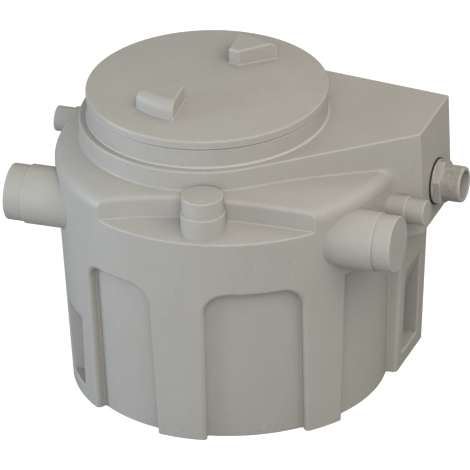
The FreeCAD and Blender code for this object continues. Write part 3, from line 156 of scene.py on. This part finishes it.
def paintedEdgeLight(tree, coords, colour, softNormal, look):
    # painted highlights on outer edges above the foot, painted shade in inner corners, and painted
    # highlights along sharp joints
    axes = tree.nodes.new("ShaderNodeSeparateXYZ")
    link(tree, coords, axes.inputs["Vector"])
    # painted highlight: a pale tone where the piece is thin at an outer edge, only above the foot
    thin = nearness(tree, look["highlightWidth"], True, look["nearSamples"])
    aboveFoot = (look["highlightStart"], look["highlightStart"] + look["highlightFade"])
    rim = tree.nodes.new("ShaderNodeMath")
    rim.operation = "MULTIPLY"
    link(tree, spread(tree, thin, look["rimAmount"], 0, *look["highlightSpan"]), rim.inputs[0])
    link(tree, spread(tree, axes.outputs["Z"], 0, 1, *aboveFoot), rim.inputs[1])
    colour = blendColours(tree, rim.outputs["Value"], colour, look["rimTone"])
    # painted shade: a darker tone in inner corners, where other faces of the piece are near
    closed = nearness(tree, look["shadeWidth"], False, look["nearSamples"])
    shade = spread(tree, closed, look["shadeAmount"], 0, *look["shadeSpan"])
    colour = blendColours(tree, shade, colour, look["shadeTone"])
    # painted highlight: a pale line where the softened normal turns away from the true one, at sharp joints
    turn = tree.nodes.new("ShaderNodeVectorMath")
    turn.operation = "DOT_PRODUCT"
    link(tree, softNormal, turn.inputs[0])
    link(tree, tree.nodes.new("ShaderNodeNewGeometry").outputs["Normal"], turn.inputs[1])
    seam = spread(tree, turn.outputs["Value"], look["seamAmount"], 0, *look["jointHighlightSpan"])
    return blendColours(tree, seam, colour, look["rimTone"])


def mouldedPlastic(name, look):
    # matt moulded plastic: faint flow mottling, rubbed patches, fine grain, softened edges, with painted
    # highlights on edges and joints and painted shade in inner corners
    material, tree, shader = nodeTree(name)
    coords = objectCoords(tree)
    cloud = noise(tree, coords, look["mottle"], detail=4, rough=0.6, stretch=look["mottleStretch"])
    colour = blendColours(tree, spread(tree, cloud, 0, 1), look["dark"], look["light"])
    fleck = spread(tree, noise(tree, coords, look["fleck"]), 0, look["fleckAmount"], *look["fleckSpan"])
    colour = blendColours(tree, fleck, colour, look["fleckTone"])
    rubScale = look["mottle"] * look["rubScale"]
    rub = noise(tree, coords, rubScale, detail=3, rough=0.6, stretch=look["rubStretch"])
    link(tree, spread(tree, rub, look["smoothest"], look["roughest"]), shader.inputs["Roughness"])
    edge = tree.nodes.new("ShaderNodeBevel")
    edge.samples = look["edgeSamples"]
    edge.inputs["Radius"].default_value = look["edge"]
    softNormal = edge.outputs["Normal"]
    link(tree, paintedEdgeLight(tree, coords, colour, softNormal, look), shader.inputs["Base Color"])
    wave = bump(tree, noise(tree, coords, look["wave"]), look["waveDepth"], softNormal)
    grain = noise(tree, coords, look["grain"], detail=3, rough=0.6)
    link(tree, bump(tree, grain, look["grainDepth"], wave), shader.inputs["Normal"])
    shader.inputs["Specular IOR Level"].default_value = look["gloss"]
    return material


def variant(base, **changes):
    look = dict(base)
    look.update(changes)
    return look


# besides their colours, some looks change the tone or strength of the painted highlights on edges and the
# painted shade in corners
looks = {
    "tank": mouldedPlastic("tankPlastic", greyPlastic),
    "lid": mouldedPlastic("lidPlastic", variant(greyPlastic, wave=9.0)),
    "fillet": mouldedPlastic("filletPlastic", variant(greyPlastic, rimAmount=0.4, shadeAmount=0.0)),
    "fitting": mouldedPlastic("fittingPlastic", variant(
        greyPlastic, dark=(0.29, 0.275, 0.255), light=(0.35, 0.335, 0.312),
        fleckTone=(0.22, 0.207, 0.19), fleckAmount=0.5,
        mottle=45.0, fleck=220.0, edge=0.0008, rimAmount=0.5, grain=500.0)),
    "thread": mouldedPlastic("threadPlastic", variant(
        greyPlastic, dark=(0.17, 0.155, 0.137), light=(0.40, 0.38, 0.35),
        fleckTone=(0.12, 0.108, 0.095), fleckAmount=0.8,
        mottle=130.0, fleck=300.0, edge=0.0004, rimAmount=0.2, seamAmount=0.2, grain=500.0)),
    "pipe": mouldedPlastic("pipePlastic", variant(
        greyPlastic, dark=(0.075, 0.08, 0.085), light=(0.095, 0.10, 0.105), fleckTone=(0.12, 0.12, 0.12),
        rimTone=(0.15, 0.155, 0.16), shadeTone=(0.04, 0.042, 0.045),
        smoothest=0.3, roughest=0.42, edge=0.001)),
    "valve": mouldedPlastic("valvePlastic", variant(
        greyPlastic, dark=(0.035, 0.037, 0.04), light=(0.045, 0.047, 0.05), fleckTone=(0.07, 0.07, 0.07),
        rimTone=(0.09, 0.09, 0.095), shadeTone=(0.02, 0.021, 0.022),
        smoothest=0.32, roughest=0.45, edge=0.001)),
    "pump": mouldedPlastic("pumpPlastic", variant(
        greyPlastic, dark=(0.012, 0.012, 0.013), light=(0.018, 0.018, 0.019), fleckTone=(0.03, 0.03, 0.03),
        rimTone=(0.05, 0.05, 0.05), shadeTone=(0.007, 0.007, 0.008),
        smoothest=0.38, roughest=0.5, edge=0.001)),
    "float": mouldedPlastic("floatPlastic", variant(
        greyPlastic, dark=(0.50, 0.13, 0.02), light=(0.56, 0.15, 0.025), fleckTone=(0.6, 0.2, 0.05),
        rimTone=(0.65, 0.24, 0.08), shadeTone=(0.30, 0.08, 0.012),
        smoothest=0.25, roughest=0.35, edge=0.001)),
}


# rubber of the seals and of the ball
rubberLook = {
    "dust": 60.0, "dustSpan": (0.45, 0.8), "dustAmount": 0.6, "dustPale": 2.2,
    "smoothest": 0.6, "roughest": 0.85, "grain": 700.0, "grainDepth": 0.0001,
}


def softRubber(name, tone, look=rubberLook):
    # dark rubber with pale dust and a fine grain
    material, tree, shader = nodeTree(name)
    coords = objectCoords(tree)
    dust = noise(tree, coords, look["dust"], detail=3, rough=0.6)
    pale = tuple(look["dustPale"] * value for value in tone)
    amount = spread(tree, dust, 0, look["dustAmount"], *look["dustSpan"])
    link(tree, blendColours(tree, amount, tone, pale), shader.inputs["Base Color"])
    link(tree, spread(tree, dust, look["smoothest"], look["roughest"]), shader.inputs["Roughness"])
    grain = noise(tree, coords, look["grain"])
    link(tree, bump(tree, grain, look["grainDepth"]), shader.inputs["Normal"])
    return material


# metal of the motor, the shaft, the handle and the float arm
steelLook = {
    "scratch": 60.0, "scratchDepth": 0.00008, "stain": 12.0, "stainDull": 0.78,
    "smoothest": 0.24, "roughest": 0.4,
}


def brushedSteel(name, tone, stretch, look=steelLook):
    # fine scratches packed close along the turning axis, over faint dull stains
    material, tree, shader = nodeTree(name)
    coords = objectCoords(tree)
    scratch = noise(tree, coords, look["scratch"], detail=4, rough=0.7, stretch=stretch)
    stain = noise(tree, coords, look["stain"], detail=3, rough=0.6)
    dull = tuple(look["stainDull"] * value for value in tone)
    link(tree, blendColours(tree, spread(tree, stain, 0, 1), tone, dull), shader.inputs["Base Color"])
    link(tree, spread(tree, scratch, look["smoothest"], look["roughest"]), shader.inputs["Roughness"])
    link(tree, bump(tree, scratch, look["scratchDepth"]), shader.inputs["Normal"])
    shader.inputs["Metallic"].default_value = 1.0
    return material


looks["rubber"] = softRubber("sealRubber", (0.012, 0.012, 0.012))
looks["ball"] = softRubber("ballRubber", (0.02, 0.02, 0.022))
looks["steel"] = brushedSteel("brushedSteel", (0.50, 0.50, 0.51), (1, 1, 14))
looks["iron"] = brushedSteel("laminatedIron", (0.16, 0.16, 0.17), (1, 1, 40))

finishes = {
    "tank": ["tank", "tank_floor", "tank_neck"],
    "lid": ["lid"],
    "fitting": ["discharge_nipple", "discharge_nut", "union_nut"],
    "pipe": ["top_elbow", "riser_top", "riser_low", "outlet_elbow"],
    "valve": ["check_valve", "check_cap"],
    "pump": ["volute", "strainer", "bearing_plate", "motor_cap", "pump_gland", "float_bracket", "impeller"],
    "float": ["float_ball"],
    "rubber": ["lid_seal", "discharge_washer", "inner_gasket"],
    "ball": ["check_ball"],
    "steel": ["motor_housing", "pump_handle", "pump_shaft", "float_arm"],
    "iron": ["stator", "rotor"],
}
for look, names in finishes.items():
    for name in names:
        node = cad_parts[name]
        node.data.materials.clear()
        node.data.materials.append(looks[look])
print("finishes given to", sum(len(names) for names in finishes.values()), "nodes")


# thread of the discharge nipple
threadLook = {
    "centre": (0.112, 0.400), "start": 0.4045, "end": 0.4365,
    "root": 0.03455, "crest": 0.0355, "sunk": 0.0004, "steep": 1.5,
    "pitch": 0.0023, "around": 144, "perTurn": 10,
}


def threadSleeve(look):
    # radius = root + (crest - root) x wave x fade; wave is a triangle wave, made steeper and cut flat, of
    # (distance / pitch - share of a turn), and fade falls to 0 over one pitch at each end, where the end
    # rings are sunk into the pipe
    rows = int(round((look["end"] - look["start"]) / look["pitch"] * look["perTurn"])) + 1
    x = np.linspace(look["start"], look["end"], rows)[:, None]
    angle = np.linspace(0, 2 * math.pi, look["around"], endpoint=False)[None, :]
    phase = x / look["pitch"] - angle / (2 * math.pi)
    triangle = 1 - 2 * np.abs(phase % 1 - 0.5)
    wave = np.clip((triangle - 0.5) * look["steep"] + 0.5, 0, 1)
    fade = np.clip(np.minimum(x - look["start"], look["end"] - x) / look["pitch"], 0, 1)
    radius = look["root"] - look["sunk"] * (fade <= 0) + (look["crest"] - look["root"]) * wave * fade
    y0, z0 = look["centre"]
    points = np.stack([x + 0 * angle, y0 + radius * np.cos(angle), z0 + radius * np.sin(angle)], -1)
    return points.reshape(-1, 3), gridFaces(rows, look["around"], closedColumns=True)


thread = addMesh("nippleThread", *threadSleeve(threadLook))
thread.data.materials.append(looks["thread"])
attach(thread, "station")
print("thread made")


# fillet where the neck stands on the deck
filletLook = {
    "middle": (-0.041, 0.0), "neck": 0.232, "deck": 0.5435, "round": 0.004, "sunk": 0.0005,
    "around": 256, "steps": 10,
}


def neckFillet(look):
    # a hollow quarter round turned about the neck: out from it by round x (1 - cos), up from the deck by
    # round x (1 - sin), and closed by one corner that is sunk into both
    share = np.linspace(0, math.pi / 2, look["steps"])
    radius = np.append(look["neck"] + look["round"] * (1 - np.cos(share)), look["neck"] - look["sunk"])
    height = np.append(look["deck"] + look["round"] * (1 - np.sin(share)), look["deck"] - look["sunk"])
    angle = np.linspace(0, 2 * math.pi, look["around"], endpoint=False)[:, None]
    x0, y0 = look["middle"]
    points = np.stack([x0 + radius * np.cos(angle), y0 + radius * np.sin(angle), height + 0 * angle], -1)
    return points.reshape(-1, 3), gridFaces(look["around"], len(radius), closedRows=True, closedColumns=True)


fillet = addMesh("neckFillet", *neckFillet(filletLook))
fillet.data.materials.append(looks["fillet"])
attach(fillet, "station")
print("neck fillet made")


# floor, sky and lights
studio = {
    "floorTone": (0.30, 0.30, 0.30), "floorMottle": 3.0, "floorShade": 0.985, "floorRoughness": 0.9,
    "floorSize": 12.0, "floorGlow": 0.88,
    "skyLight": 0.36,
    "aim": (0.0, 0.0, 0.3), "distance": 4.0, "lightSize": 2.4,
    "lights": [
        {"name": "leftLight", "azimuth": -150, "elevation": 5, "power": 148.0, "tone": (0.80, 0.90, 1.0)},
        {"name": "lowLight", "azimuth": -70, "elevation": 5, "power": 19.0, "tone": (0.90, 0.95, 1.0)},
        {"name": "frontLight", "azimuth": -70, "elevation": 30, "power": 57.0, "tone": (1.0, 0.98, 1.0)},
        {"name": "rightLight", "azimuth": -30, "elevation": 48, "power": 60.0, "tone": (1.0, 0.98, 0.78)},
        {"name": "sideLight", "azimuth": 10, "elevation": 40, "power": 22.0, "tone": (1.0, 0.93, 0.96)},
        {"name": "rearLight", "azimuth": 50, "elevation": 30, "power": 18.0, "tone": (1.0, 0.93, 0.75)},
        {"name": "backLight", "azimuth": 110, "elevation": 60, "power": 18.0, "tone": (1.0, 0.95, 0.80)},
    ],
}
white = (1, 1, 1, 1)


def makeFloor(look):
    half = look["floorSize"] / 2
    corners = np.array([(-half, -half, 0), (half, -half, 0), (half, half, 0), (-half, half, 0)], float)
    floor = addMesh("floor", corners, np.array([[0, 1, 2, 3]]), smooth=False)
    material, tree, shader = nodeTree("paleFloor")
    cloud = noise(tree, objectCoords(tree), look["floorMottle"], detail=3)
    shade = tuple(look["floorShade"] * value for value in look["floorTone"])
    link(tree, blendColours(tree, cloud, shade, look["floorTone"]), shader.inputs["Base Color"])
    shader.inputs["Roughness"].default_value = look["floorRoughness"]
    seen = tree.nodes.new("ShaderNodeLightPath").outputs["Is Camera Ray"]  # the glow lights nothing
    shader.inputs["Emission Color"].default_value = white
    link(tree, spread(tree, seen, 0, look["floorGlow"], 0, 1), shader.inputs["Emission Strength"])
    floor.data.materials.append(material)


def makeSky(look):
    # white where the camera sees it, and dimmer as a light
    world = bpy.data.worlds.new("studioSky")
    scene.world = world
    world.use_nodes = True
    tree = world.node_tree
    light = tree.nodes["Background"]
    seen = tree.nodes.new("ShaderNodeBackground")
    for background, strength in ((light, look["skyLight"]), (seen, 1.0)):
        background.inputs["Color"].default_value = white
        background.inputs["Strength"].default_value = strength
    mix = tree.nodes.new("ShaderNodeMixShader")
    link(tree, tree.nodes.new("ShaderNodeLightPath").outputs["Is Camera Ray"], mix.inputs["Fac"])
    link(tree, light.outputs["Background"], mix.inputs[1])
    link(tree, seen.outputs["Background"], mix.inputs[2])
    link(tree, mix.outputs["Shader"], tree.nodes["World Output"].inputs["Surface"])


def makeLights(look):
    # square soft lights that all point at aim, each given by its direction from there
    for entry in look["lights"]:
        data = bpy.data.lights.new(entry["name"], "AREA")
        data.size = look["lightSize"]
        data.energy = entry["power"]
        data.color = entry["tone"]
        lamp = bpy.data.objects.new(entry["name"], data)
        turn, rise = math.radians(entry["azimuth"]), math.radians(entry["elevation"])
        level = math.cos(rise)
        away = Vector((math.cos(turn) * level, math.sin(turn) * level, math.sin(rise)))
        lamp.location = Vector(look["aim"]) + away * look["distance"]
        lamp.rotation_euler = (-away).to_track_quat("-Z", "Y").to_euler()
        scene.collection.objects.link(lamp)


# camera at the angle of the photograph; width is what it sees from side to side, in metres
photoView = {
    "right": (0.94398838, 0.32890843, -0.02655545),
    "up": (-0.13186127, 0.44960192, 0.88344254),
    "centre": (0.01837, -0.02994, 0.29951), "width": 0.9056,
    "lens": 1500.0, "sensor": 36.0, "clip": (1.0, 200.0),
}


def makeCamera(look):
    # a long lens far away, because the photograph shows no perspective
    data = bpy.data.cameras.new("camera")
    data.lens = look["lens"]
    data.sensor_width = look["sensor"]
    data.clip_start, data.clip_end = look["clip"]
    right, up = Vector(look["right"]).normalized(), Vector(look["up"]).normalized()
    back = right.cross(up)
    distance = look["width"] * look["lens"] / look["sensor"]
    place = Vector(look["centre"]) + back * distance
    camera = bpy.data.objects.new("camera", data)
    camera.matrix_world = Matrix((
        (right.x, up.x, back.x, place.x),
        (right.y, up.y, back.y, place.y),
        (right.z, up.z, back.z, place.z),
        (0, 0, 0, 1),
    ))
    scene.collection.objects.link(camera)
    scene.camera = camera


makeFloor(studio)
makeSky(studio)
makeLights(studio)
makeCamera(photoView)
print("studio made")
